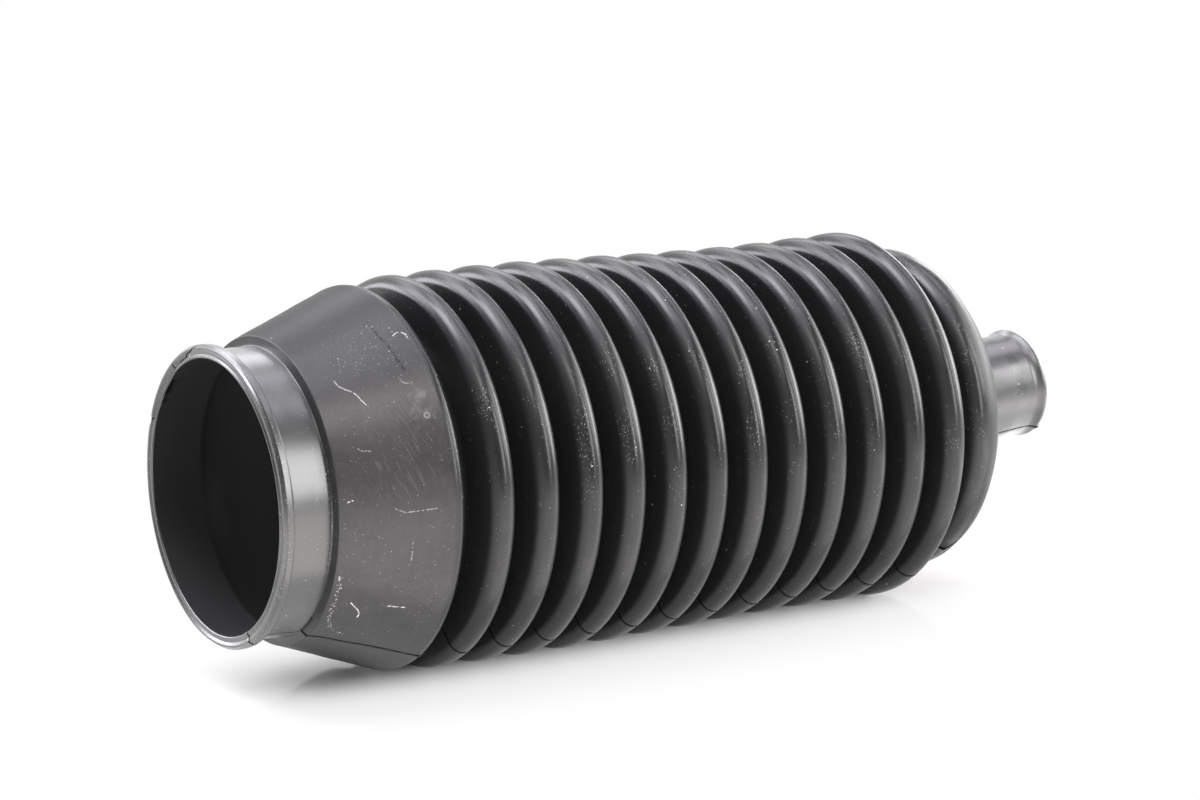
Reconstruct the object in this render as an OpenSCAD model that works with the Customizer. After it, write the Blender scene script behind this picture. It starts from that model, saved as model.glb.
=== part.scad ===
// Steering rack boot: one flexible bellows moulding, lying on its crests.
// The long axis runs along X, the wide mouth at -X and the narrow neck at +X.
// The wall is one closed outline turned about that axis, millimetres throughout.

/* [Mouth] */
// Bore of the mouth that fits over the rack housing
mouth_bore_d = 51.6; // [42:0.1:62]
// Wall of the collar that the wide clamp sits on
collar_wall = 1.3; // [1:0.05:2.4]
// Distance from the end face to the step behind the clamp seat
collar_len = 10.2; // [8:0.1:14]
// Height of the bead over the collar, which keeps the wide clamp on
bead_h = 1.25; // [0.9:0.05:2]
// Axial width of the bead
bead_w = 2; // [1.5:0.05:3]
// How far inside the collar's surface the thin ridge on the end face runs
ridge_in = 0.1; // [0:0.05:0.6]
// How far the ridge stands in front of the bead
ridge_h = 0.2; // [0.1:0.05:0.5]
// Depth of the lead-in chamfer inside the mouth
lead_in = 1.35; // [0.5:0.05:3]
// Height of the step between the collar and the cone
step_h = 2; // [1:0.05:3]

/* [Bellows] */
// Diameter over the full crests
crest_d = 75; // [62:0.5:92]
// How much less the first crest, at the wide end of the cone, has in radius
first_crest_drop = 0.9; // [0:0.1:3]
// How much less the last crest, where the boot closes in, has in radius
last_crest_drop = 4.1; // [0:0.1:5]
// Depth of the folds from crest to root, outside
fold_depth = 9.5; // [7:0.1:12]
// Distance from one crest to the next
pitch = 9.55; // [8:0.05:13]
// Number of folds between the first crest and the last
folds = 13; // [3:1:20]
// Length of the cone from the step to the first crest
cone_len = 20.75; // [12:0.25:32]
// Wall thickness of the folds
wall = 1.4; // [1:0.05:1.7]
// Outside radius of a crest
crest_r = 2.6; // [2.1:0.05:3.1]
// Outside radius of the first crest
first_crest_r = 1.8; // [1.75:0.05:2.6]
// Outside radius at the bottom of a fold
root_r = 1.6; // [1.2:0.05:1.95]
// Outside radius of the dome behind the last crest
dome_r = 7.6; // [5:0.1:9.5]

/* [Neck] */
// Bore of the neck that fits on the tie rod
neck_bore_d = 17.7; // [14:0.1:22]
// Wall of the neck
neck_wall = 1.8; // [1.2:0.05:2.4]
// Length of the straight neck, lip included
neck_len = 20; // [14:0.5:30]
// Distance from the last crest to the start of the straight neck
dome_len = 15; // [12:0.5:20]
// Outside radius where the dome meets the neck
neck_root_r = 3; // [2:0.1:4]
// Height of the lip over the neck, which keeps the narrow clamp on
lip_h = 0.7; // [0.4:0.05:2]
// Radius of the rounded lip
lip_r = 0.8; // [0.5:0.05:1.2]
// Radius of the flare that runs out to the lip
flare_r = 4; // [2.5:0.1:8]

/* [Rest] */
// Depth of the flat that the crests take where the boot lies on them
rest_flat = 0.3; // [0:0.05:0.5]

/* [Hidden] */

// Radii from the axis
mouth_r = mouth_bore_d/2;
collar_r = mouth_r + collar_wall;
bead_r = collar_r + bead_h;
ridge_r = collar_r - ridge_in;
shoulder_end_r = collar_r + step_h;
full_crest_r = crest_d/2;
first_crest_end_r = full_crest_r - first_crest_drop;
last_crest_end_r = full_crest_r - last_crest_drop;
root_bottom_r = full_crest_r - fold_depth;
neck_bore_r = neck_bore_d/2;
neck_r = neck_bore_r + neck_wall;
lip_end_r = neck_r + lip_h;

// Places along the axis, from the end face of the mouth
first_crest_x = collar_len + cone_len;
last_crest_x = first_crest_x + folds*pitch;
neck_x = last_crest_x + dome_len;
boot_len = neck_x + neck_len;
crest_count = folds - 1;

// Small radii of the bead, the clamp seat and the step, and how far the step leans back
bead_front_r = 0.5;
bead_back_r = 0.4;
seat_fillet = 0.45;
step_fillet = 0.25;
step_lean = 0.2;
shoulder_r = 0.3;
inner_corner_r = 0.3;

// Degrees between two points of an arc
arc_step = 15;

// An outline is a chain of arcs, each joined to the next by their common tangent.
// An arc is [x, radius from the axis, arc radius]. The arc radius is positive on
// a crest and negative in a hollow, so the same chain with a wall taken off each
// arc radius is the parallel line inside it.
function unit(a) = [sin(a), cos(a)];
function centre(arc) = [arc[0], arc[1]];
function within_one(v) = max(-1, min(1, v));

// Angle of the outward normal on the tangent between arcs p and q, from the radial direction
function tangent_normal(p, q) =
    let (d = centre(q) - centre(p))
    asin(within_one((p[2] - q[2])/norm(d))) - atan2(d[1], d[0]);

function arc_points(arc, a0, a1) =
    let (n = max(1, ceil(abs(a1 - a0)/arc_step)))
    [for (i = [0:n]) centre(arc) + arc[2]*unit(a0 + (a1 - a0)*i/n)];

// Points along a chain that starts and ends at the given normals
function chain_points(chain, a_start, a_end) =
    let (last = len(chain) - 1)
    [for (i = [0:last])
        each arc_points(chain[i],
            i == 0 ? a_start : tangent_normal(chain[i - 1], chain[i]),
            i == last ? a_end : tangent_normal(chain[i], chain[i + 1]))];

// Crests and folds, at a depth t below the outside
function crest(x, end_r, r, t) = [x, end_r - r, r - t];
function root(x, t) = [x, root_bottom_r + root_r, -root_r - t];
function bellows_chain(t) = [
    crest(first_crest_x, first_crest_end_r, first_crest_r, t),
    for (i = [1:crest_count]) each [
        root(first_crest_x + (i - 0.5)*pitch, t),
        crest(first_crest_x + i*pitch, full_crest_r, crest_r, t)
    ],
    root(last_crest_x - pitch/2, t),
    crest(last_crest_x, last_crest_end_r, crest_r, t),
    crest(last_crest_x, last_crest_end_r, dome_r, t)
];

step_arc = [collar_len - step_fillet, collar_r + step_fillet, -step_fillet];
shoulder_arc = [collar_len + step_lean + shoulder_r, shoulder_end_r - shoulder_r, shoulder_r];
neck_root_arc = [neck_x, neck_r + neck_root_r, -neck_root_r];

// The flare touches the neck and the lip's arc, so its centre is one arc radius above the neck
lip_arc = [boot_len - lip_r, lip_end_r - lip_r, lip_r];
flare_rise = neck_r + flare_r - lip_arc[1];
flare_arc = [lip_arc[0] - sqrt((flare_r + lip_r)^2 - flare_rise^2), neck_r + flare_r, -flare_r];

outer_chain = concat(
    [
        [ridge_h + bead_front_r, bead_r - bead_front_r, bead_front_r],
        [bead_w - bead_back_r, bead_r - bead_back_r, bead_back_r],
        [bead_w + seat_fillet, collar_r + seat_fillet, -seat_fillet],
        step_arc,
        shoulder_arc
    ],
    bellows_chain(0),
    [neck_root_arc, flare_arc, lip_arc]
);

inner_chain = concat(
    [
        [step_arc[0], step_arc[1], step_arc[2] - collar_wall],
        [collar_len + collar_wall + inner_corner_r, shoulder_arc[1] - wall/2, inner_corner_r]
    ],
    bellows_chain(wall),
    [[neck_x, neck_root_arc[1], -neck_root_r - neck_wall]]
);

outer_line = chain_points(outer_chain, -90, 90);
inner_line = chain_points(inner_chain, 0, 0);

// Closed outline of the wall: out along the outside, back along the inside
wall_outline = concat(
    [[0, ridge_r], [ridge_h, ridge_r + ridge_h]],
    outer_line,
    [[boot_len, neck_bore_r]],
    [for (i = [len(inner_line) - 1:-1:0]) inner_line[i]],
    [[lead_in, mouth_r]]
);

module boot_wall() {
    rotate([0, 90, 0])
        rotate([0, 0, 180])
            rotate_extrude($fn = 144)
                polygon([for (p = wall_outline) [p[1], p[0]]]);
}

// Flexible boot, with a shallow flat along the crests that it lies on
module bellows_boot() {
    color([0.09, 0.09, 0.1])
        difference() {
            translate([-boot_len/2, 0, full_crest_r - rest_flat]) boot_wall();
            translate([-boot_len/2 - 1, -full_crest_r, -crest_d])
                cube([boot_len + 2, crest_d, crest_d]);
        }
}

bellows_boot();
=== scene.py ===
"""Steering rack boot in black satin rubber, lying on a pale studio floor.

The boot is one surface: a closed outline of tangent arcs, carried round the long axis, then bent,
seamed and flattened as the soft moulding is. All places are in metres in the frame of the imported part.
"""
import math

import bpy
import numpy as np
from mathutils import Euler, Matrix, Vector


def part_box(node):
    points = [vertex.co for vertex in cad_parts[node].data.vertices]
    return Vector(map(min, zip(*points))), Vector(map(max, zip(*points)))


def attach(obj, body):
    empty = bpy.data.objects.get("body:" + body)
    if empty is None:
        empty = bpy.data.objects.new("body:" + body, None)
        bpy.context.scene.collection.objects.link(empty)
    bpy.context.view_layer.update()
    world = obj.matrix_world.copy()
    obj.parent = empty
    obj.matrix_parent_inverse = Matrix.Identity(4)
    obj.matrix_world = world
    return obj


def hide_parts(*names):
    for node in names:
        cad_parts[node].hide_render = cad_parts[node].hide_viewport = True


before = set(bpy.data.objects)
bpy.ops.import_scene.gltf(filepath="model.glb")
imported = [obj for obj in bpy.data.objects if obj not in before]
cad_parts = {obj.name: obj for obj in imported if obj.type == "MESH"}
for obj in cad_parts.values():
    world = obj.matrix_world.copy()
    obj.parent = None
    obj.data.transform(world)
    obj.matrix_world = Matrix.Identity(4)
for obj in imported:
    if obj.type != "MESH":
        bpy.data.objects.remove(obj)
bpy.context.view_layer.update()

bl_info = {
    "name": "Steering rack boot",
    "version": (1, 0, 0),
    "blender": (4, 5, 0),
    "location": "3D View > Sidebar > Boot",
    "description": "Builds a rubber bellows boot and the studio that it is shown in",
    "category": "Add Mesh",
}

MM = 0.001
BODY = "root"
BOOT_NODE = "bellows_boot"
CAD_LOW, CAD_HIGH = (np.array(corner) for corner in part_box(BOOT_NODE))
BOOT_LENGTH = float(CAD_HIGH[0] - CAD_LOW[0])
FLOOR_Z = float(CAD_LOW[2])

# Marks are placed by mm along the axis and degrees round it; a degree counts as this many mm
GIRTH_STEP = 0.576
# The split in the mouth's end face: its radius in mm at each angle in degrees
SPLIT_LINE = (
    (28.3, -163.0), (27.85, -159.0), (26.7, -156.0), (26.25, -150.0), (26.1, -140.5),
    (26.1, -137.0), (26.35, -129.0), (26.55, -122.0), (26.95, -114.0), (27.55, -107.5),
    (28.0, -103.0))
# How far open the split is at each of those angles
SPLIT_OPENING = (0.0, 0.35, 0.4, 0.6, 0.9, 1.0, 0.6, 0.45, 0.35, 0.25, 0.0)


def length(name, description, default):
    """A length in metres for a PropertyGroup."""
    return bpy.props.FloatProperty(
        name=name, description=description, default=default, min=0, max=1,
        unit="LENGTH", precision=5)


def angle(name, description, degrees):
    """An angle for a PropertyGroup, given in degrees."""
    return bpy.props.FloatProperty(
        name=name, description=description, default=math.radians(degrees), unit="ROTATION")


def colour(name, description, default):
    """A colour for a PropertyGroup."""
    return bpy.props.FloatVectorProperty(
        name=name, description=description, default=default, size=3, min=0, max=1,
        subtype="COLOR")


def share(name, description, default):
    """A plain factor from 0 to 1 for a PropertyGroup."""
    return bpy.props.FloatProperty(
        name=name, description=description, default=default, min=0, max=1)


class BootSizes(bpy.types.PropertyGroup):
    """Sizes of the moulding, measured from the end face of the mouth along the axis."""
    mouth_bore: length("Mouth bore", "Radius of the mouth's bore", 25.8 * MM)
    inner_edge: length("Inner edge", "Rounding of the mouth's inner edge", 0.3 * MM)
    ridge: length("Ridge", "Radius of the thin ridge on the end face", 27.65 * MM)
    collar: length("Collar", "Radius of the collar under the wide clamp", 27.1 * MM)
    bead: length("Bead", "Radius over the bead at the mouth", 28.35 * MM)
    bead_width: length("Bead width", "Width of the bead along the axis", 2.0 * MM)
    shoulder_x: length("Step", "Distance to the step between collar and cone", 10.2 * MM)
    shoulder: length("Shoulder radius", "Radius over the step", 29.1 * MM)
    first_crest_x: length("First crest", "Distance to the wide end of the cone", 30.95 * MM)
    first_crest: length("First crest radius", "Radius over the wide end of the cone", 36.6 * MM)
    first_crest_arc: length("First crest arc", "Rounding of the wide end of the cone", 1.8 * MM)
    crest: length("Crest", "Radius over the full crests", 37.5 * MM)
    crest_arc: length("Crest arc", "Rounding of the full crests", 2.6 * MM)
    root: length("Root", "Outside radius at the bottom of the folds", 28.0 * MM)
    root_arc: length("Root arc", "Rounding at the bottom of the folds", 1.6 * MM)
    pitch: length("Pitch", "Distance from crest to crest", 9.55 * MM)
    folds: bpy.props.IntProperty(
        name="Folds", description="Folds from the first crest to the last", default=13, min=3)
    last_crest: length("Last crest", "Radius over the last crest", 33.4 * MM)
    dome_arc: length("Dome arc", "Rounding of the dome behind the last crest", 7.6 * MM)
    dome_length: length("Dome length", "From the last crest to the neck", 15.0 * MM)
    neck: length("Neck", "Outside radius of the neck", 10.65 * MM)
    neck_bore: length("Neck bore", "Radius of the neck's bore", 8.85 * MM)
    neck_root_arc: length("Neck root", "Hollow between dome and neck", 3.0 * MM)
    lip: length("Lip", "Radius over the lip of the neck", 11.35 * MM)
    lip_arc: length("Lip arc", "Rounding of the lip", 0.8 * MM)
    flare_arc: length("Flare", "Hollow that runs out to the lip", 4.0 * MM)
    wall: length("Wall", "Wall of the folds", 1.4 * MM)
    flat: length("Flat", "Depth of the flat under the crests", 0.3 * MM)


class BootWear(bpy.types.PropertyGroup):
    """What moulding, handling and its own softness did to the boot."""
    seam_angle: angle("Parting line", "Angle of the near parting line below the horizontal", 54.5)
    seam_depth: length("Seam depth", "Depth of the parting line", 0.26 * MM)
    seam_width: length("Seam width", "Half width of the parting line", 0.17 * MM)
    flash: length("Flash", "Height of the nub of flash on the dome", 0.9 * MM)
    neck_tilt: angle("Neck tilt", "How far the soft neck is turned up", 4.8)
    uneven: share("Uneven crests", "Share by which the crests differ in radius", 0.010)
    ripple: length("Ripple", "Height of the broad unevenness of the skin", 0.05 * MM)
    split_depth: length("Split", "Depth of the split in the mouth's edge", 0.5 * MM)
    split_width: length("Split width", "Half the widest opening of the split", 0.5 * MM)


class RubberLook(bpy.types.PropertyGroup):
    """Colours and gloss of the rubber."""
    base: colour("Rubber", "Colour of the rubber", (0.0145, 0.0148, 0.0154))
    bloom: colour("Bloom", "Colour where the rubber has bloomed grey", (0.056, 0.0545, 0.056))
    seat: colour("Clamp seats", "Colour of the smooth collar and neck", (0.036, 0.0355, 0.036))
    dust: colour("Dust", "Colour of dust and chalk on the skin", (0.78, 0.77, 0.76))
    inside: colour("Inside", "Colour of the inside", (0.02, 0.02, 0.021))
    # Painted glow: emission inside the boot that stands in for light the walls throw to each other.
    inside_glow: colour(
        "Inside light", "Light that the walls throw to each other inside", (0.010, 0.010, 0.0105))
    # This black is painted shade in the parting line, the step's corner, the mouth's split and on the
    # cone's top, and the colour of the dark streak on the cone.
    dark: colour("Cracks", "Colour in cracks and dark streaks", (0.006, 0.006, 0.006))
    roughness: share("Roughness", "Roughness of the clean skin", 0.27)
    fold_roughness: share("Fold roughness", "Roughness between the crests, where nothing rubs", 0.45)
    cone_roughness: share("Cone roughness", "Roughness of the grained skin of the cone", 0.33)
    inside_roughness: share("Inside roughness", "Roughness of the inside", 0.5)
    grain: length("Grain", "Height of the fine grain of the cone", 0.016 * MM)


class StudioSetup(bpy.types.PropertyGroup):
    """Camera, lamps and floor."""
    lens: bpy.props.FloatProperty(
        name="Lens", description="Focal length on a 36 mm wide sensor", default=105.65,
        unit="CAMERA")
    camera_place: bpy.props.FloatVectorProperty(
        name="Camera", description="Place of the camera", size=3, unit="LENGTH",
        default=(-0.37828, -0.5697, 0.1837))
    yaw: angle("Yaw", "Turn of the camera towards the neck", 32.88)
    down: angle("Down", "How far the camera looks down", 11.44)


def polar(turn):
    """Unit vector of a normal that is turned from the radial direction towards the neck."""
    return np.stack([np.sin(turn), np.cos(turn)], axis=-1)


def tangent_turn(first, second):
    """Turn of the outward normal on the common tangent of two arcs.

    An arc is (x, radius, rounding), with a negative rounding in a hollow. The sine of the angle
    between normal and centre line is the difference of the roundings over the centres' distance.
    """
    step = np.subtract(second[:2], first[:2])
    ratio = (first[2] - second[2]) / np.hypot(*step)
    return math.asin(max(-1.0, min(1.0, ratio))) - math.atan2(step[1], step[0])


def chain(arcs, start, end, turn_step, span):
    """Points along arcs joined by their common tangents, as rows of x, radius and normal.

    Each arc is centre + rounding * (sin t, cos t) for t between its two tangents, in wider steps in
    a hollow. Each tangent is cut into equal spans, with a point close to either end to hold the shading.
    """
    points = []
    for i, arc in enumerate(arcs):
        begin = start if i == 0 else tangent_turn(arcs[i - 1], arc)
        finish = end if i == len(arcs) - 1 else tangent_turn(arc, arcs[i + 1])
        step = turn_step if arc[2] > 0 else 1.5 * turn_step
        count = max(1, math.ceil(abs(finish - begin) / step))
        turns = np.linspace(begin, finish, count + 1)
        bow = np.hstack([np.array(arc[:2]) + arc[2] * polar(turns), polar(turns)])
        if points:
            points.append(straight(points[-1][-1], bow[0], span))
        points.append(bow)
    line = np.vstack(points)
    least_gap = 0.005 * MM
    apart = np.hypot(*np.diff(line[:, :2], axis=0).T) > least_gap
    return line[np.concatenate([[True], apart])]


def straight(a, b, span):
    """Rows strictly between a and b, no further apart than span, held close to both ends."""
    leg = b[:2] - a[:2]
    reach = np.hypot(*leg)
    hold = 0.12 * MM
    if reach < 3 * hold:
        return np.empty((0, 4))
    count = max(1, math.ceil(reach / span))
    shares = np.linspace(hold / reach, 1 - hold / reach, count + 1)[:, None]
    normal = np.array([-leg[1], leg[0]]) / reach
    return np.hstack([a[:2] + shares * leg, np.broadcast_to(normal, (len(shares), 2))])


def rounded(points, radii, turn_step=math.radians(30)):
    """An open line with each inner corner rounded by an arc of the given radius.

    The arc touches both sides at radius * tan(half the turn) from the corner. The rows are x,
    radius and normal, and the line's two ends are left out.
    """
    out = []
    for before, corner, after, radius in zip(points, points[1:], points[2:], radii):
        into = (corner - before) / np.hypot(*(corner - before))
        away = (after - corner) / np.hypot(*(after - corner))
        turn = math.atan2(into[0] * away[1] - into[1] * away[0], into @ away)
        side = math.copysign(1.0, turn)
        across = side * np.array([-into[1], into[0]])
        start = corner - into * radius * math.tan(abs(turn) / 2)
        bend = np.linspace(0, abs(turn), max(2, math.ceil(abs(turn) / turn_step)) + 1)[:, None]
        bow = start + radius * (np.sin(bend) * into + (1 - np.cos(bend)) * across)
        heading = np.cos(bend) * into + np.sin(bend) * across
        out.append(np.column_stack([bow, -heading[:, 1], heading[:, 0]]))
    return np.vstack(out)


def bellows_arcs(s, wall):
    """Crests and roots as arcs, at a depth of wall below the outside."""
    def crest(x, radius, rounding):
        return (x, radius - rounding, rounding - wall)

    def root(x):
        return (x, s.root + s.root_arc, -s.root_arc - wall)

    last_x = s.first_crest_x + s.folds * s.pitch
    arcs = [crest(s.first_crest_x, s.first_crest, s.first_crest_arc)]
    for i in range(1, s.folds):
        x = s.first_crest_x + i * s.pitch
        arcs += [root(x - s.pitch / 2), crest(x, s.crest, s.crest_arc)]
    arcs += [root(last_x - s.pitch / 2),
             crest(last_x, s.last_crest, s.crest_arc),
             crest(last_x, s.last_crest, s.dome_arc)]
    return arcs


def mouth_face(s):
    """Rows of the mouth, from the bore over the end face and the bead to the collar.

    The end face has a land at the bore, a shallow groove and a thin ridge, and leans back to the bead.
    """
    land, groove_depth, groove_in, groove_out = 0.45 * MM, 0.26 * MM, 0.72 * MM, 1.10 * MM
    ridge_half, lean, bead_corner, bead_back = 0.18 * MM, 0.40 * MM, 0.62 * MM, 0.25 * MM
    run_in = 2.5 * MM
    points = np.array([
        (run_in, s.mouth_bore),
        (0.0, s.mouth_bore),
        (0.0, s.mouth_bore + land),
        (groove_depth, s.mouth_bore + groove_in),
        (groove_depth, s.mouth_bore + groove_out),
        (0.0, s.ridge - ridge_half),
        (0.0, s.ridge + ridge_half),
        (lean, s.bead - bead_back),
        (bead_corner, s.bead),
        (s.bead_width, s.bead),
        (s.bead_width + bead_back, s.collar),
        (s.bead_width + run_in, s.collar),
    ])
    corner_radii = [s.inner_edge / MM, 0.12, 0.12, 0.12, 0.10, 0.08, 0.10, 0.10, 0.50, 0.45]
    return rounded(points, np.array(corner_radii) * MM)


def outline(s):
    """The wall's closed outline as rows of x, radius and normal, and the number of its outer rows.

    It runs from the mouth's bore over the end face and the outside to the lip, and back inside.
    """
    end = BOOT_LENGTH
    neck_x = s.first_crest_x + s.folds * s.pitch + s.dome_length
    collar_wall = s.collar - s.mouth_bore
    neck_wall = s.neck - s.neck_bore
    step_fillet, step_lean, shoulder_arc_r = 0.2 * MM, 0.2 * MM, 0.25 * MM
    corner_gap, corner_r = 0.4 * MM, 0.3 * MM
    step_arc = (s.shoulder_x - step_fillet, s.collar + step_fillet, -step_fillet)
    shoulder_arc = (
        s.shoulder_x + step_lean + shoulder_arc_r, s.shoulder - shoulder_arc_r, shoulder_arc_r)
    neck_arc = (neck_x, s.neck + s.neck_root_arc, -s.neck_root_arc)
    flare_rise = s.neck + s.flare_arc - s.lip + s.lip_arc
    flare_reach = math.sqrt((s.flare_arc + s.lip_arc) ** 2 - flare_rise ** 2)

    fine, coarse = math.radians(20), math.radians(42)
    past_lip = math.radians(150)
    outer = chain([step_arc, shoulder_arc] + bellows_arcs(s, 0.0) + [
        neck_arc,
        (end - s.lip_arc - flare_reach, s.neck + s.flare_arc, -s.flare_arc),
        (end - s.lip_arc, s.lip - s.lip_arc, s.lip_arc),
    ], 0.0, past_lip, fine, 2.2 * MM)
    inner = chain([
        (step_arc[0], step_arc[1], step_arc[2] - collar_wall),
        (step_arc[0] + step_fillet + collar_wall + corner_gap, shoulder_arc[1] - s.wall / 2, corner_r),
    ] + bellows_arcs(s, s.wall) + [(neck_arc[0], neck_arc[1], -s.neck_root_arc - neck_wall)],
        0.0, 0.0, coarse, 8.0 * MM)

    throat_edge, throat_rise, throat_run, throat_end = 0.25 * MM, 0.30 * MM, 0.60 * MM, 5.0 * MM
    throat = rounded(np.array([
        outer[-1, :2],
        (end - throat_edge, s.neck_bore + throat_rise),
        (end - throat_run, s.neck_bore),
        (end - throat_end, s.neck_bore),
    ]), np.array([0.2, 0.4]) * MM)
    mouth = mouth_face(s)
    inner = inner[::-1] * [1, 1, -1, -1]
    front = np.vstack([mouth, straight(mouth[-1], outer[0], 1.2 * MM), outer])
    back = np.vstack([
        throat, straight(throat[-1], inner[0], 5.0 * MM), inner,
        straight(inner[-1], mouth[0], 3.0 * MM)])
    return np.vstack([front, back]), len(front)


def smooth(low, high, value):
    """0 below low, 1 above high, with the smooth step 3t^2 - 2t^3 between."""
    t = np.clip((value - low) / (high - low), 0.0, 1.0)
    return t * t * (3 - 2 * t)


def bump(value, centre, half):
    """A bell of height 1 at centre, that is exp of minus the squared offset over half."""
    return np.exp(-((value - centre) / half) ** 2)


def columns(seams, radius):
    """Angles of the grid round the axis, even, with a close group at each parting line."""
    even_count, clear_of_seam = 138, 1.5 * MM / radius
    even = np.linspace(0, 2 * math.pi, even_count, endpoint=False)
    near = np.array([0, 0.12, 0.25, 0.45, 0.9]) * MM / radius
    group = np.unique(np.concatenate([-near, near]))
    for seam in seams:
        even = even[np.abs(np.angle(np.exp(1j * (even - seam)))) > clear_of_seam]
    return np.sort(np.concatenate([even] + [(seam + group) % (2 * math.pi) for seam in seams]))


def torus_faces(rows, cols):
    """Quads of a grid that closes on itself both ways, as vertex indices."""
    i, j = np.meshgrid(np.arange(rows), np.arange(cols), indexing="ij")
    up, right = (i + 1) % rows, (j + 1) % cols
    return np.stack([i * cols + j, up * cols + j, up * cols + right, i * cols + right], axis=-1)


def turn_from(angle_round, place):
    """Signed angle from place to angle_round, the short way round."""
    return np.angle(np.exp(1j * (angle_round - place)))


def parting_relief(s, wear, x, run, offset):
    """Height of the parting lines, of the lip beside each and of the near line's nubs of flash.

    A line is a bell-shaped groove with a lower bell beside it. Its depth wanders along the outline
    with the product of two sines.
    """
    lip_height, lip_place, lip_half = 0.3, 0.5 * MM, 0.25 * MM
    last_x = s.first_crest_x + s.folds * s.pitch
    nubs = (
        (wear.flash, last_x - 0.9 * MM, 1.0 * MM),
        (0.3 * MM, BOOT_LENGTH - 0.4 * MM, 0.7 * MM),
        (0.25 * MM, s.first_crest_x, 0.7 * MM))
    relief = sum(height * bump(x, place, half) for height, place, half in nubs)
    relief = relief * bump(offset[0], 0.2 * MM, 0.55 * MM)
    for k, off in enumerate(offset):
        wander = np.sin(run / (3.1 * MM) + 2 * k) * np.sin(run / (1.3 * MM) + k)
        depth = (0.65 + 0.35 * wander) * wear.seam_depth
        relief = relief - depth * bump(off, 0, wear.seam_width)
        relief = relief + depth * lip_height * bump(off, lip_place, lip_half)
    return relief


def skin_ripple(s, x, a):
    """Broad unevenness from -1 to 1, as the mean of three waves that wind round the boot."""
    wind = x / s.crest
    waves = np.sin(3 * a + 40 * wind) + np.sin(5 * a - 23 * wind + 1.0) \
        + 0.6 * np.sin(8 * a + 11 * wind + 2.0)
    return smooth(2 * MM, 6 * MM, x) * waves / 2.6


def uneven_radius(s, wear, x, r):
    """Radius with the crests' slow rise and fall, which is one sine wave in eleven folds."""
    wave_start, wave_folds = 0.75, 11
    fold = (x - s.first_crest_x) / s.pitch
    on_folds = smooth(0.3, 0.9, fold) * (1 - smooth(s.folds - 0.8, s.folds - 0.2, fold))
    wave = np.sin(2 * math.pi * (fold - wave_start) / wave_folds)
    return r * (1 + wear.uneven * on_folds * wave)


def collar_tab(x, a, seam):
    """Height of the low tab on the collar at the parting line, which ends at the step."""
    height, half_turn = 0.55 * MM, 0.42
    foot, top, edge, end = 7.0 * MM, 10.0 * MM, 10.2 * MM, 10.35 * MM
    return smooth(foot, top, x) * (1 - smooth(edge, end, x)) * height * bump(a, seam, half_turn)


def split_depth(wear, x, r, a):
    """Depth of the split in the mouth's face, a bell across it that is as wide as it is open."""
    face_depth, clear_depth, least_width, least_open = 0.5 * MM, 0.9 * MM, 0.25, 0.3
    turn = np.degrees(turn_from(a, 0.0))
    split_r, at = np.array(SPLIT_LINE).T * [[MM], [1.0]]
    opening = np.interp(turn, at, SPLIT_OPENING, left=0.0, right=0.0)
    width = wear.split_width * (least_width + (1 - least_width) * opening)
    across = bump(r, np.interp(turn, at, split_r), width) * smooth(0, least_open, opening)
    return wear.split_depth * (1 - smooth(face_depth, clear_depth, x)) * across


def seam_drift(x):
    """Angle by which the near parting line wanders off its place at each x."""
    at_x = np.array([0.0, 8.5, 11.0, 22.0, 60.0, 140.0, 150.0, 160.0, 200.0]) * MM
    return np.interp(x, at_x, np.radians([6.9, 6.9, 0.6, -0.3, 0.0, -1.0, -5.0, -8.0, -8.0]))


def bent_axis(s, x):
    """Shift of the soft boot's axis at each x, towards the far side and upwards.

    With u running along the folds, and held at their ends, the shift is a cubic bow u^3 - u both
    ways, and an arch u^2 - 1 upwards, each as a share of the crest's radius.
    """
    middle, half_span, low, high = 2.365, 2.0, -0.77, 0.9
    far_bow, up_bow, up_arch = -0.0336, 0.0306, 0.0062
    u = np.clip((x / s.crest - middle) / half_span, low, high)
    bow = u ** 3 - u
    return far_bow * bow * s.crest, (up_arch * (u ** 2 - 1) + up_bow * bow) * s.crest


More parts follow.
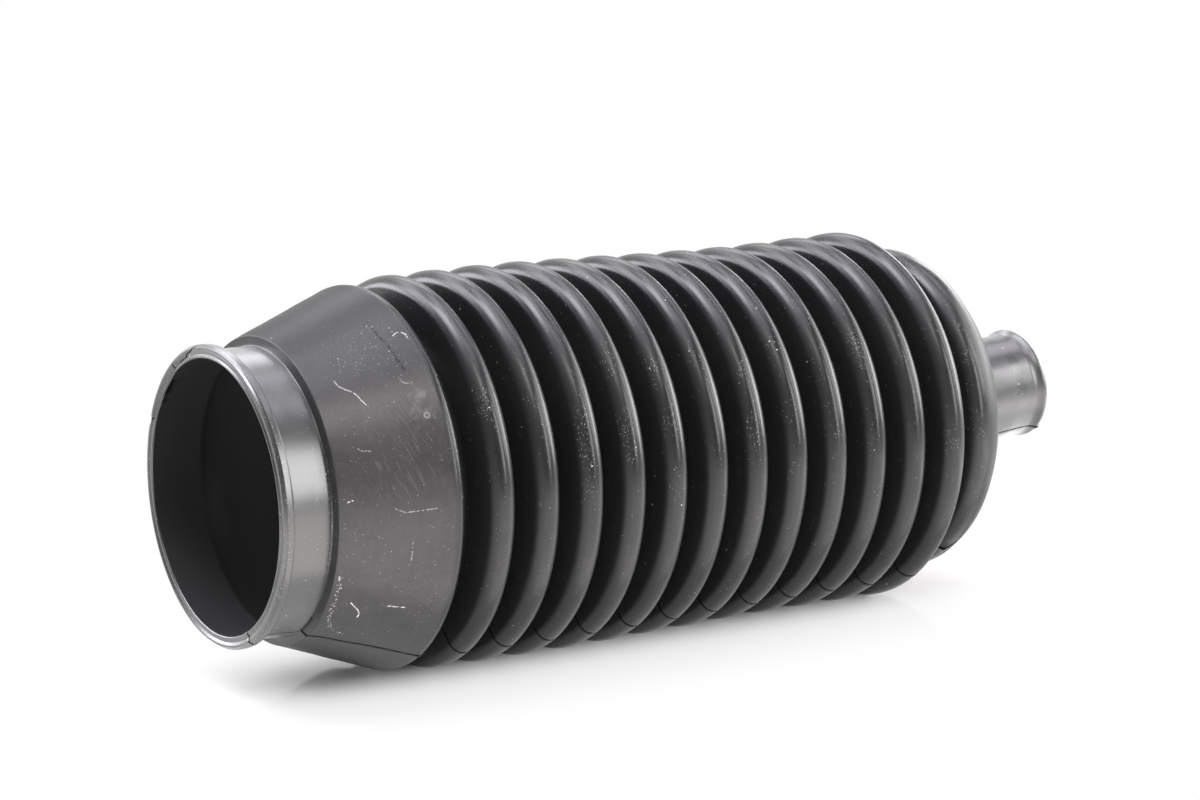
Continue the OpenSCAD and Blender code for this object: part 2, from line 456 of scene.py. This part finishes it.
def boot_surface(s, wear):
    """Vertices of the boot as a grid of rows along the outline and columns round the axis.

    A point at x and radius r turns to (x, -r cos a, -r sin a), so the angle a starts at the near side
    and grows downwards. Shifts along the outline's normal and of the axis are added to that, and
    what would then be under the floor is pressed flat on it.
    """
    rows, outer_count = outline(s)
    line, normal = rows[:, :2], rows[:, 2:]
    ahead = np.roll(line, -1, axis=0) - line
    facet = np.column_stack([-ahead[:, 1], ahead[:, 0]]) / np.hypot(*ahead.T)[:, None]
    meet = facet + np.roll(facet, 1, axis=0)
    lean = normal - meet / np.hypot(*meet.T)[:, None]
    run = np.concatenate([[0], np.cumsum(np.hypot(*np.diff(line, axis=0).T))])[:, None]

    x, r = line[:, :1], line[:, 1:]
    seams = (wear.seam_angle, wear.seam_angle + math.pi)
    a = columns(seams, s.crest)[None, :]
    skin = (np.arange(len(line)) < outer_count)[:, None].astype(float)

    radius = uneven_radius(s, wear, x, r)
    offset = np.stack([turn_from(a, seam) * radius for seam in seams])
    shift = skin * (
        parting_relief(s, wear, x, run, offset)
        + collar_tab(x, a, seams[0])
        + wear.ripple * skin_ripple(s, x, a))
    px = x + normal[:, :1] * shift + skin * split_depth(wear, x, r, a)
    pr = radius + normal[:, 1:] * shift

    drift_half_turn = 0.6
    a = a + seam_drift(x) * bump(turn_from(a, seams[0]), 0, drift_half_turn)
    axis_y, axis_z = bent_axis(s, x)
    past_dome = x - (s.first_crest_x + s.folds * s.pitch + 0.9 * s.dome_length)
    lift = np.maximum(past_dome, 0) * math.tan(wear.neck_tilt)
    on_neck = smooth(-2 * MM, 2 * MM, past_dome)

    up = -pr * np.sin(a)
    vx = px - on_neck * math.sin(wear.neck_tilt) * up
    vy = -pr * np.cos(a) + axis_y
    vz = np.maximum(up + axis_z + lift + s.crest - s.flat, 0.0)
    verts = np.stack([vx - BOOT_LENGTH / 2, np.broadcast_to(vy, vx.shape), vz + FLOOR_Z], axis=-1)
    spread = np.zeros(vx.shape)
    tilt = np.stack([
        lean[:, :1] + spread, -lean[:, 1:] * np.cos(a), -lean[:, 1:] * np.sin(a)], axis=-1)
    return verts, tilt, a / (2 * math.pi) + spread, {
        "skin": skin + spread,
        "axial": x / MM + spread,
        "parting": np.min(np.abs(offset), axis=0) / MM + spread,
    }


def mesh_from_grid(name, verts, tilt, turns, marks):
    """A closed mesh from a grid of points, with a UV map and the attributes that its paint reads.

    The tilt is added to the mean normal of the faces round a point, which gives the arcs' true normal.
    """
    rows, cols = verts.shape[:2]
    quads = torus_faces(rows, cols)
    flat = verts.reshape(-1, 3)
    tri = flat[quads.reshape(-1, 4)[:, :3]]
    if np.einsum("ij,ij->", tri[:, 0], np.cross(tri[:, 1], tri[:, 2])) < 0:
        quads = quads[..., ::-1]
    mesh = bpy.data.meshes.new(name)
    mesh.from_pydata(flat.tolist(), [], quads.reshape(-1, 4).tolist())
    mesh.update()
    mesh.polygons.foreach_set("use_smooth", np.ones(rows * cols, dtype=bool))

    corner = quads.reshape(-1, 4)
    u = turns.reshape(-1)[corner]
    v = np.repeat(np.arange(rows) / rows, cols)[corner]
    u = np.where(u < u.max(axis=1, keepdims=True) - 0.5, u + 1, u)
    v = np.where(v < v.max(axis=1, keepdims=True) - 0.5, v + 1, v)
    layer = mesh.uv_layers.new(name="wrap")
    layer.data.foreach_set("uv", np.stack([u, v], axis=-1).astype(np.float32).ravel())
    for label, values in marks.items():
        mark = mesh.attributes.new(label, "FLOAT", "POINT")
        mark.data.foreach_set("value", values.astype(np.float32).ravel())

    normals = np.empty(rows * cols * 3, dtype=np.float32)
    mesh.vertex_normals.foreach_get("vector", normals)
    normals = normals.reshape(-1, 3) + tilt.reshape(-1, 3)
    normals /= np.linalg.norm(normals, axis=1, keepdims=True)
    mesh.normals_split_custom_set_from_vertices(normals)
    return mesh


class Value:
    """A number in a shader. Python's operators on it add Math nodes."""

    def __init__(self, graph, socket):
        self.graph = graph
        self.socket = socket

    def _math(self, operation, *others):
        return self.graph.math(operation, self, *others)

    def __add__(self, other):
        return self._math("ADD", other)

    def __sub__(self, other):
        return self._math("SUBTRACT", other)

    def __mul__(self, other):
        return self._math("MULTIPLY", other)

    def __truediv__(self, other):
        return self._math("DIVIDE", other)

    def __pow__(self, other):
        return self._math("POWER", other)

    def __radd__(self, other):
        return self.graph.math("ADD", other, self)

    def __rsub__(self, other):
        return self.graph.math("SUBTRACT", other, self)

    def __rmul__(self, other):
        return self.graph.math("MULTIPLY", other, self)

    def abs(self):
        """Its size without its sign."""
        return self._math("ABSOLUTE")

    def least(self, other):
        """The smaller of the two."""
        return self._math("MINIMUM", other)

    def most(self, other):
        """The larger of the two."""
        return self._math("MAXIMUM", other)

    def fade(self, low, high):
        """0 at low and 1 at high, smooth between; low may be the larger."""
        return self.graph.node(
            "ShaderNodeMapRange", {"interpolation_type": "SMOOTHSTEP"},
            {0: self, 1: low, 2: high, 3: 0.0, 4: 1.0})[0]


class Graph:
    """The nodes of one material or world."""

    def __init__(self, tree):
        self.tree = tree
        self.tree.nodes.clear()

    def node(self, kind, settings=None, inputs=None):
        """Adds a node, sets it up, links or sets its inputs, and gives its outputs as Values."""
        made = self.tree.nodes.new(kind)
        for name, value in (settings or {}).items():
            setattr(made, name, value)
        for key, value in (inputs or {}).items():
            if isinstance(value, Value):
                self.tree.links.new(value.socket, made.inputs[key])
            else:
                made.inputs[key].default_value = value
        return [Value(self, out) for out in made.outputs]

    def math(self, operation, *terms):
        """One Math node."""
        return self.node("ShaderNodeMath", {"operation": operation}, dict(enumerate(terms)))[0]

    def mix(self, factor, a, b):
        """One colour turning into another."""
        return self.node("ShaderNodeMix", {"data_type": "RGBA"}, {0: factor, 6: a, 7: b})[2]

    def vector(self, operation, inputs):
        """One Vector Math node, as its vector and its value."""
        return self.node("ShaderNodeVectorMath", {"operation": operation}, inputs)[:2]

    def noise(self, vector, scale, detail=2.0, roughness=0.5):
        """Fractal noise about 0.5."""
        return self.node("ShaderNodeTexNoise", {}, {
            "Vector": vector, "Scale": scale, "Detail": detail, "Roughness": roughness})[0]

    def attribute(self, name):
        """A number that the mesh carries at its points."""
        return self.node("ShaderNodeAttribute", {"attribute_name": name})[2]

    def join(self, x, y, z=0.0):
        """A vector from its three parts."""
        return self.node("ShaderNodeCombineXYZ", {}, {0: x, 1: y, 2: z})[0]

    def specks(self, place, scale, amount, size):
        """Round specks of a size in cells of 1 / scale, in a share of the cells: 1 on a speck."""
        reach, cell = self.node("ShaderNodeTexVoronoi", {}, {"Vector": place, "Scale": scale})[:2]
        pick, grow = self.node("ShaderNodeSeparateColor", {}, {0: cell})[:2]
        chosen = self.math("GREATER_THAN", amount, pick)
        edge = (grow * 0.8 + 0.4) * size
        return chosen * self.math("LESS_THAN", reach, edge)

    def stroke(self, spot, *places):
        """Distance in mm from spot to a broken line through places, each an (x, degrees) on the boot.

        On each leg the nearest point is at the offset's dot product with the leg over the leg's
        squared length, held between 0 and 1.
        """
        points = [np.array([x, degrees * GIRTH_STEP]) for x, degrees in places]
        nearest = None
        for start, end in zip(points, points[1:]):
            leg = end - start
            offset = self.vector("SUBTRACT", {0: spot, 1: (*start, 0)})[0]
            share_along = self.vector("DOT_PRODUCT", {0: offset, 1: (*(leg / (leg @ leg)), 0)})[1]
            held = self.node("ShaderNodeClamp", {}, {0: share_along})[0]
            foot = self.vector("SCALE", {0: (*leg, 0), 3: held})[0]
            apart = self.vector("DISTANCE", {0: offset, 1: foot})[1]
            nearest = apart if nearest is None else nearest.least(apart)
        return nearest


def rgba(colour_value):
    """A colour with full alpha."""
    return (*colour_value, 1.0)


def window(value, low, high, soft):
    """1 between low and high, fading to 0 over soft outside them."""
    return value.fade(low - soft, low) * value.fade(high + soft, high)


class Skin:
    """What the marks on the rubber read: where a point is, and noise of several sizes.

    The axial place is in mm from the mouth, and the degrees go round from the near side downwards.
    """

    def __init__(self, graph, s):
        self.graph = graph
        self.place = graph.node("ShaderNodeTexCoord")[3]
        wrap = graph.node("ShaderNodeUVMap", {"uv_map": "wrap"})[0]
        turn = graph.node("ShaderNodeSeparateXYZ", {}, {0: wrap})[0]
        self.degrees = (graph.math("FRACT", turn + 0.5) - 0.5) * 360.0
        self.axial = graph.attribute("axial")
        self.outside = graph.attribute("skin")
        self.spot = graph.join(self.axial, self.degrees * GIRTH_STEP)

        self.broad = graph.noise(self.place, 60.0, 4.0, 0.6)
        self.middle = graph.noise(self.place, 420.0, 3.0, 0.6)
        self.fine = graph.noise(self.place, 2300.0, 3.0, 0.65)
        self.cluster = graph.noise(self.place, 150.0, 2.0).fade(0.47, 0.64)

        phase = graph.math("FRACT", (self.axial - s.first_crest_x / MM) / (s.pitch / MM))
        on_folds = self.axial.fade(32.0, 34.0)
        self.on_cone = window(self.axial, 11.0, 30.0, 1.2) * self.outside
        self.on_seats = (self.axial.fade(10.3, 10.0) + self.axial.fade(169.0, 170.5)) * self.outside
        self.beside_crest = window(phase, 0.80, 0.97, 0.08) * on_folds
        self.between_crests = window(phase, 0.18, 0.82, 0.09) * on_folds * self.outside
        self.near_side = self.round_about(-34.0, 140.0, 30.0)

    def along(self, low, high, soft):
        """1 between two places along the axis."""
        return window(self.axial, low, high, soft)

    def round_about(self, low, high, soft):
        """1 between two angles round the axis."""
        return window(self.degrees, low, high, soft)

    def stroke(self, *places):
        """Distance in mm to a broken line through places on the skin."""
        return self.graph.stroke(self.spot, *places)


def chalk_marks(skin):
    """Bright marks rubbed on the cone: a wavy line, curls, dashes and faint strokes, as a mask."""
    broken = skin.fine
    wavy = skin.stroke(
        (14.9, -50.1), (15.0, -49.0), (15.15, -47.6), (16.0, -45.6), (16.8, -44.2),
        (17.3, -42.9), (17.6, -41.7), (17.8, -40.4), (18.1, -39.3), (18.4, -38.1))
    upper_curl = skin.stroke((27.9, -58.7), (28.6, -59.3), (29.3, -59.1), (29.9, -57.6), (29.9, -55.8))
    lower_curl = skin.stroke((14.4, 32.4), (16.0, 35.3), (16.5, 37.2), (16.4, 38.8))
    long_dash = skin.stroke((20.8, 31.9), (23.7, 31.5))
    short_dash = skin.stroke((11.9, -6.4), (12.9, -6.9))
    loop = skin.stroke((11.5, 21.0), (11.6, 33.0), (11.7, 42.0), (13.0, 47.5), (15.4, 49.6))
    faint = skin.stroke((25.3, -43.9), (25.5, -42.2), (26.1, -41.3), (27.1, -41.0)).least(
        skin.stroke((20.1, -3.1), (21.7, -1.7), (27.1, -2.4))).least(
        skin.stroke((23.1, 7.5), (23.1, 14.2))).least(
        skin.stroke((15.0, -24.1), (15.6, -23.1), (17.1, -22.5)))

    curls = upper_curl.least(lower_curl).fade(0.17, 0.05) * broken.fade(0.42, 0.52)
    dashes = long_dash.least(short_dash).fade(0.16, 0.05) * broken.fade(0.46, 0.54)
    solid = wavy.fade(0.13, 0.04) * broken.fade(0.40, 0.54) * 0.8
    dotted = loop.fade(0.55, 0.1) * broken.fade(0.57, 0.61) * 0.8
    weak = faint.fade(0.16, 0.04) * broken.fade(0.4, 0.6) * 0.4
    return solid.most(curls).most(dashes).most(dotted).most(weak)


def parting_line_shade(graph, skin):
    """Painted shade in the parting line's groove, broken by the noise of the skin."""
    return graph.attribute("parting").fade(0.26, 0.10) * skin.outside * skin.middle.fade(0.25, 0.5)


def shaded_cracks(graph, skin):
    """Painted shadow along the step's corner beside the parting line, a dark streak on the cone, and
    painted shade in the mouth's split.
    """
    # Painted shadow: a dark line along the step's corner beside the parting line.
    step_shadow = skin.stroke((9.9, 59.5), (10.1, 56.5), (10.12, 46.0)).fade(0.30, 0.08) \
        * skin.axial.fade(10.35, 10.2)
    streak = skin.stroke((25.6, -68.4), (25.7, -61.2), (26.2, -56.0), (26.4, -50.5), (26.7, -46.0))
    streak = streak.fade(0.55, 0.1) * skin.fine.fade(0.46, 0.56) * 0.75

    # Painted shade inside the mouth's split, along its line on the end face.
    mouth_y, mouth_z = -0.0004, 0.03747
    parts = graph.node("ShaderNodeSeparateXYZ", {}, {0: skin.place})
    side, rise = parts[1] - mouth_y, parts[2] - mouth_z
    radius = (side * side + rise * rise) ** 0.5 * (1 / MM)
    on_face = graph.join(radius, skin.degrees * GIRTH_STEP)
    split_shade = graph.stroke(on_face, *SPLIT_LINE).fade(0.16, 0.06) \
        * skin.axial.fade(0.9, 0.6) * skin.outside
    return step_shadow.most(streak).most(split_shade)


def dust_specks(graph, skin, *places):
    """Fine and coarse specks of dust, as thick as the densest of places and never less than 0.02."""
    amount = places[0].most(0.02)
    for place in places[1:]:
        amount = amount.most(place)
    specks = graph.specks(skin.place, 3600.0, amount * skin.outside, 0.26)
    flecks = graph.specks(skin.place, 1300.0, amount * skin.outside * 0.4, 0.16)
    return (specks * 0.45).most(flecks * 0.8)


def ring_and_smear(graph, skin):
    """A small pale ring with a smear beside it, near the cone's wide end."""
    ring_x, ring_degrees, ring_radius = 27.8, -30.0, 0.42
    centre = (ring_x, ring_degrees * GIRTH_STEP, 0)
    ring = (graph.vector("DISTANCE", {0: skin.spot, 1: centre})[1] - ring_radius).abs()
    smear = skin.along(25.5, 28.6, 1.0) * skin.round_about(-39.0, -28.0, 4.0)
    return ring.fade(0.3, 0.05) * 0.16 + smear * skin.middle.fade(0.45, 0.75) * 0.10


def brush_noise(graph, skin):
    """Noise drawn out along a slant, for the fine parallel scratches on the cone."""
    slant_x, slant_round, stretch = 0.34, 0.94, 0.03
    across = graph.vector("DOT_PRODUCT", {0: skin.spot, 1: (slant_round, -slant_x, 0)})[1]
    along = graph.vector("DOT_PRODUCT", {0: skin.spot, 1: (slant_x, slant_round, 0)})[1]
    return graph.noise(graph.join(across, along * stretch), 5.5, 1.0)


def fold_finish(graph, skin, look):
    """Bloom, roughness, relief, white marks and painted shade of the folds, the dome and the neck.

    Bloom is left out between the crests, so the black there is painted shade of the valleys. There the
    rubber is also rougher on the near side, and it is dusty beside the crests.
    """
    between = skin.between_crests
    # Painted shade: no bloom between the crests keeps the valleys black.
    bloom = skin.broad.fade(0.35, 0.75) * (1.0 - between) * 0.35
    rough = look.roughness + between * skin.near_side * (look.fold_roughness - look.roughness)
    dusty = skin.beside_crest * skin.round_about(-34.0, -6.0, 14.0) * skin.cluster * 0.6
    return bloom, rough, skin.fine * 0.35, dust_specks(graph, skin, dusty), parting_line_shade(graph, skin)


def mouth_end_finish(graph, skin, look):
    """The same five of the mouth, the collar and the cone.

    The cone is grained and bloomed grey. Its bloom is weaker off the near side and black is mixed in
    there, as painted shade on its top and far side. It has chalk, scratches and dust, which is thickest
    at the collar's edge.
    """
    cone, middle, fine = skin.on_cone, skin.middle, skin.fine
    # Painted shade: the cone's bloom is weaker off the near side, which darkens its top and far side.
    bloom = skin.broad.fade(0.35, 0.75) * 0.35 \
        + cone * (0.3 + 0.7 * skin.near_side) * (0.35 + middle * 0.7 + (fine - 0.5) * 0.8)
    rough = look.roughness + cone * (look.cone_roughness - look.roughness)
    chalk = chalk_marks(skin)
    brushed = brush_noise(graph, skin)
    relief = fine * (0.35 + cone * 0.65) + middle * cone * 0.9 + chalk * 1.5 \
        + brushed.fade(0.60, 0.66) * skin.round_about(-34.0, -6.0, 6.0) * cone * 0.6

    specks = dust_specks(
        graph, skin,
        skin.along(9.5, 10.2, 0.15) * skin.round_about(-24.0, 20.0, 6.0) * 0.7,
        skin.along(0.0, 1.0, 0.5) * 0.25,
        cone * 0.035,
        skin.along(24.0, 30.0, 1.0) * skin.round_about(26.0, 38.0, 5.0) * skin.cluster * 0.3,
        skin.along(17.0, 27.0, 3.0) * skin.round_about(-66.0, -50.0, 5.0) * 0.25)
    scratched = brushed.fade(0.62, 0.68) * skin.along(18.0, 26.0, 2.0) \
        * skin.round_about(-34.0, -11.0, 6.0) * 0.07
    white = chalk.most(specks).most(scratched).most(ring_and_smear(graph, skin))
    # Painted shade: a share of black mixed over the cone's top and far side.
    top_shade = cone * (1.0 - skin.near_side) * 0.36
    return bloom, rough, relief, white, parting_line_shade(graph, skin).most(shaded_cracks(graph, skin)).most(top_shade)


def rubber_material(name, finish, look, s):
    """Black satin rubber with a finish, smooth where the clamps sit, matt inside with a painted glow."""
    material = bpy.data.materials.new(name)
    material.use_nodes = True
    material.cycles.emission_sampling = "NONE"
    graph = Graph(material.node_tree)
    skin = Skin(graph, s)
    bloom, rough, relief, white, dark = finish(graph, skin, look)

    tone = graph.mix(bloom.least(1.0), rgba(look.base), rgba(look.bloom))
    tone = graph.mix(skin.on_seats, tone, rgba(look.seat))
    tone = graph.mix(skin.outside, rgba(look.inside), tone)
    tone = graph.mix(white, tone, rgba(look.dust))
    # Painted glow: emission inside the boot, growing from the mouth inwards, stands in for bounced
    # light.
    painted_glow_depth = (1.0 - skin.outside) * skin.axial.fade(1.0, 25.0)
    glow = graph.mix(painted_glow_depth, (0, 0, 0, 1), rgba(look.inside_glow))
    rough = rough + (skin.broad - 0.5) * 0.08 + (skin.middle - 0.5) * 0.05 \
        + skin.outside.fade(1.0, 0.0) * (look.inside_roughness - look.roughness)

    grain = graph.node("ShaderNodeBump", {}, {
        "Strength": 1.0, "Distance": look.grain, "Height": relief})[0]
    rubber = graph.node("ShaderNodeBsdfPrincipled", {}, {
        "Base Color": tone, "Roughness": (rough + white * 0.35).least(1.0), "Normal": grain,
        "Coat Weight": skin.on_seats, "Coat Roughness": 0.3, "Coat IOR": 1.8,
        "Specular IOR Level": 0.5, "IOR": 1.5, "Emission Color": glow, "Emission Strength": 1.0})[0]
    # Black mixed in by the dark mask: painted shade in the parting line, at the step, in the split and
    # on the cone's top, and the dark streak.
    shade_and_streak_black = graph.node("ShaderNodeBsdfDiffuse", {}, {0: rgba(look.dark)})[0]
    mixed = graph.node("ShaderNodeMixShader", {}, {0: dark, 1: rubber, 2: shade_and_streak_black})[0]
    graph.node("ShaderNodeOutputMaterial", {}, {0: mixed})
    return material


def wear_two_finishes(mesh, axial, columns_round, look, s):
    """Gives the mesh both finishes, with the mouth's end from the mouth to just past the first crest.

    A face belongs to the mouth's end if either of its rows, at axial mm, does.
    """
    for name, finish in (("fold_rubber", fold_finish), ("mouth_end_rubber", mouth_end_finish)):
        mesh.materials.append(rubber_material(name, finish, look, s))
    mouth_end = s.first_crest_x / MM + 0.3
    slots = np.minimum(axial, np.roll(axial, -1)) < mouth_end
    mesh.polygons.foreach_set("material_index", np.repeat(slots, columns_round).astype(np.int32))


class BOOT_OT_add_boot(bpy.types.Operator):
    """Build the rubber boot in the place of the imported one"""
    bl_idname = "boot.add_boot"
    bl_label = "Boot"

    def execute(self, context):
        scene = context.scene
        verts, tilt, turns, marks = boot_surface(scene.boot_sizes, scene.boot_wear)
        mesh = mesh_from_grid("rubber_boot", verts, tilt, turns, marks)
        wear_two_finishes(
            mesh, marks["axial"][:, 0], verts.shape[1], scene.boot_rubber, scene.boot_sizes)
        piece = bpy.data.objects.new("rubber_boot", mesh)
        scene.collection.objects.link(piece)
        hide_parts(BOOT_NODE)
        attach(piece, BODY)
        return {"FINISHED"}


def aim(place, target):
    """Rotation that turns a lamp or camera at place to face target."""
    return (Vector(target) - Vector(place)).to_track_quat("-Z", "Y").to_euler()


def softbox(name, azimuth, elevation, distance, width, height, brightness, tint):
    """A rectangular lamp that faces the boot and that the camera doesn't see.

    The azimuth is in degrees from +Y towards +X. The brightness is that of the lamp's face, where 1
    is white, and the power is pi times brightness times area.
    """
    turn, rise = math.radians(azimuth), math.radians(elevation)
    boot_height = 0.03
    target = Vector((0, 0, boot_height))
    place = target + distance * Vector((
        math.sin(turn) * math.cos(rise), math.cos(turn) * math.cos(rise), math.sin(rise)))
    panel_lamp(name, place, target, width, height, brightness, tint)


def panel_lamp(name, place, target, width, height, brightness, tint):
    """A rectangular lamp at place that faces target, unseen by the camera."""
    lamp = bpy.data.lights.new(name, "AREA")
    lamp.shape = "RECTANGLE"
    lamp.size = width
    lamp.size_y = height
    lamp.energy = math.pi * width * height * brightness
    lamp.color = tint
    box = bpy.data.objects.new(name, lamp)
    box.location = place
    box.rotation_euler = aim(place, target)
    box.visible_camera = False
    bpy.context.scene.collection.objects.link(box)


def sweep_mesh(name, half_width, front, back, height, bend):
    """Floor and backdrop as one sheet: flat, then a quarter turn of radius bend, then upright."""
    bend_points = 25
    turn = np.linspace(0, math.pi / 2, bend_points)
    flat_y = np.array([-front, back - bend])
    curve_y = back - bend + bend * np.sin(turn[1:])
    curve_z = bend * (1 - np.cos(turn[1:]))
    y = np.concatenate([flat_y, curve_y, [back]])
    z = np.concatenate([[0, 0], curve_z, [height]])
    x = np.array([-half_width, half_width])
    grid = np.stack(np.broadcast_arrays(x[None, :], y[:, None], z[:, None]), axis=-1)
    rows = len(y)
    faces = [(2 * i, 2 * i + 1, 2 * i + 3, 2 * i + 2) for i in range(rows - 1)]
    mesh = bpy.data.meshes.new(name)
    mesh.from_pydata(grid.reshape(-1, 3).tolist(), [], faces)
    mesh.polygons.foreach_set("use_smooth", np.ones(rows - 1, dtype=bool))
    return mesh


def floor_material():
    """Glossy white floor that keeps the boot's shadow and is plain white further out.

    The white comes in with the distance from the boot's middle line, and at once on the backdrop.
    """
    material = bpy.data.materials.new("studio_floor")
    material.use_nodes = True
    material.cycles.emission_sampling = "NONE"
    graph = Graph(material.node_tree)
    line_half, inner_share, outer_share = 0.075, 0.72, 0.28
    x, y, z = graph.node("ShaderNodeSeparateXYZ", {}, {0: graph.node("ShaderNodeTexCoord")[3]})
    beyond = (x.abs() - line_half).most(0.0)
    away = (beyond * beyond + y * y) ** 0.5
    white = away.fade(0.0, 0.022) * inner_share + away.fade(0.015, 0.055) * outer_share
    white = white.most(z.fade(0.001, 0.01))
    path = graph.node("ShaderNodeLightPath")
    camera_ray, glossy_ray, transmission_ray = path[0], path[3], path[6]
    seen = camera_ray.most(glossy_ray).most(transmission_ray)
    paint = graph.node("ShaderNodeBsdfPrincipled", {}, {
        "Base Color": (0.91, 0.895, 0.875, 1), "Roughness": 0.08, "Specular IOR Level": 0.5})[0]
    glow = graph.node("ShaderNodeEmission", {}, {0: (1, 1, 1, 1), 1: 1.0})[0]
    mixed = graph.node("ShaderNodeMixShader", {}, {0: white * seen, 1: paint, 2: glow})[0]
    graph.node("ShaderNodeOutputMaterial", {}, {0: mixed})
    return material


def studio_world():
    """A world that is white to the camera and lights the boot only dimly."""
    world = bpy.data.worlds.new("studio_world")
    world.use_nodes = True
    graph = Graph(world.node_tree)
    camera_ray = graph.node("ShaderNodeLightPath")[0]
    dim = graph.node("ShaderNodeBackground", {}, {0: (1, 1, 1, 1), 1: 0.1})[0]
    white = graph.node("ShaderNodeBackground", {}, {0: (1, 1, 1, 1), 1: 1.0})[0]
    mixed = graph.node("ShaderNodeMixShader", {}, {0: camera_ray, 1: dim, 2: white})[0]
    graph.node("ShaderNodeOutputWorld", {}, {0: mixed})
    return world


COOL, PLAIN, WARM = (0.985, 0.965, 1.05), (1.0, 0.985, 1.0), (1.04, 0.995, 0.95)
# Name, azimuth and elevation in degrees, distance, width and height in metres, brightness, tint
SOFTBOXES = (
    ("left_top", -62, 62, 1.0, 0.42, 0.42, 10.5, COOL),
    ("left_middle", -39, 38, 1.0, 0.35, 0.48, 6.3, COOL),
    ("left_low", -30, 12, 1.2, 0.45, 0.35, 6.5, COOL),
    ("mouth_strip", 158, 23, 1.0, 0.20, 0.66, 9.5, PLAIN),
    ("neck_strip", 128, 27, 1.0, 0.20, 0.60, 7.5, PLAIN),
    ("right_side", 101, 13, 1.0, 0.42, 0.42, 9.5, PLAIN),
    ("right_back", 80, 16, 1.0, 0.35, 0.42, 5.0, PLAIN),
    ("right_high", 102, 36, 1.0, 0.42, 0.22, 3.5, PLAIN),
    ("back_low", 60, 14, 1.2, 0.5, 0.35, 4.0, PLAIN),
    ("back_left", -12, 44, 1.0, 0.35, 0.34, 3.0, COOL),
    ("back_middle", 22, 38, 1.2, 0.5, 0.4, 2.5, COOL),
    ("back_top", 12, 66, 1.0, 0.42, 0.36, 3.5, COOL),
    ("back_high", 68, 54, 1.0, 0.5, 0.4, 2.2, COOL),
    ("front_high", -152, 54, 1.0, 0.42, 0.36, 5.0, WARM),
    ("top_left", -60, 82, 1.0, 0.5, 0.5, 3.8, COOL),
    ("top_right", 140, 74, 1.0, 0.5, 0.4, 2.2, COOL),
)
# Bright cards on the floor, facing up: name, place, width and depth in metres, brightness, tint
FLOOR_CARDS = (
    ("floor_card", (-0.04, -0.175, 0.004), 0.40, 0.27, 1.1, WARM),
    ("right_card", (0.20, -0.02, 0.004), 0.18, 0.30, 1.0, PLAIN),
)


class BOOT_OT_add_studio(bpy.types.Operator):
    """Build the floor, the lamps and the camera"""
    bl_idname = "boot.add_studio"
    bl_label = "Studio"

    def execute(self, context):
        scene = context.scene
        setup = scene.boot_studio
        mesh = sweep_mesh(
            "studio_sweep", half_width=3.5, front=3.5, back=2.6, height=2.5, bend=0.6)
        mesh.materials.append(floor_material())
        floor = bpy.data.objects.new("studio_sweep", mesh)
        scene.collection.objects.link(floor)

        for lamp in SOFTBOXES:
            softbox(*lamp)
        for name, place, width, depth, brightness, tint in FLOOR_CARDS:
            panel_lamp(name, place, (*place[:2], 1), width, depth, brightness, tint)
        scene.world = studio_world()

        view = bpy.data.cameras.new("photo_camera")
        view.sensor_width = 36
        view.lens = setup.lens
        view.clip_start = 0.01
        view.clip_end = 20
        camera = bpy.data.objects.new("photo_camera", view)
        camera.location = setup.camera_place
        camera.rotation_euler = Euler((math.pi / 2 - setup.down, 0, -setup.yaw))
        scene.collection.objects.link(camera)
        scene.camera = camera
        scene.view_settings.view_transform = "Standard"
        return {"FINISHED"}


class BOOT_PT_panel(bpy.types.Panel):
    """Sidebar panel with the boot's values"""
    bl_idname = "BOOT_PT_panel"
    bl_label = "Steering rack boot"
    bl_space_type = "VIEW_3D"
    bl_region_type = "UI"
    bl_category = "Boot"

    def draw(self, context):
        for group in (context.scene.boot_sizes, context.scene.boot_wear,
                      context.scene.boot_rubber, context.scene.boot_studio):
            box = self.layout.box()
            for name in group.__annotations__:
                box.prop(group, name)
        self.layout.operator(BOOT_OT_add_boot.bl_idname)
        self.layout.operator(BOOT_OT_add_studio.bl_idname)


CLASSES = (BootSizes, BootWear, RubberLook, StudioSetup,
           BOOT_OT_add_boot, BOOT_OT_add_studio, BOOT_PT_panel)
GROUPS = {"boot_sizes": BootSizes, "boot_wear": BootWear,
          "boot_rubber": RubberLook, "boot_studio": StudioSetup}


def register():
    for cls in CLASSES:
        bpy.utils.register_class(cls)
    for name, group in GROUPS.items():
        setattr(bpy.types.Scene, name, bpy.props.PointerProperty(type=group))


def unregister():
    for name in GROUPS:
        delattr(bpy.types.Scene, name)
    for cls in reversed(CLASSES):
        bpy.utils.unregister_class(cls)


def main():
    """Builds the boot and the studio."""
    register()
    bpy.ops.boot.add_boot()
    bpy.ops.boot.add_studio()


if __name__ == "__main__":
    main()
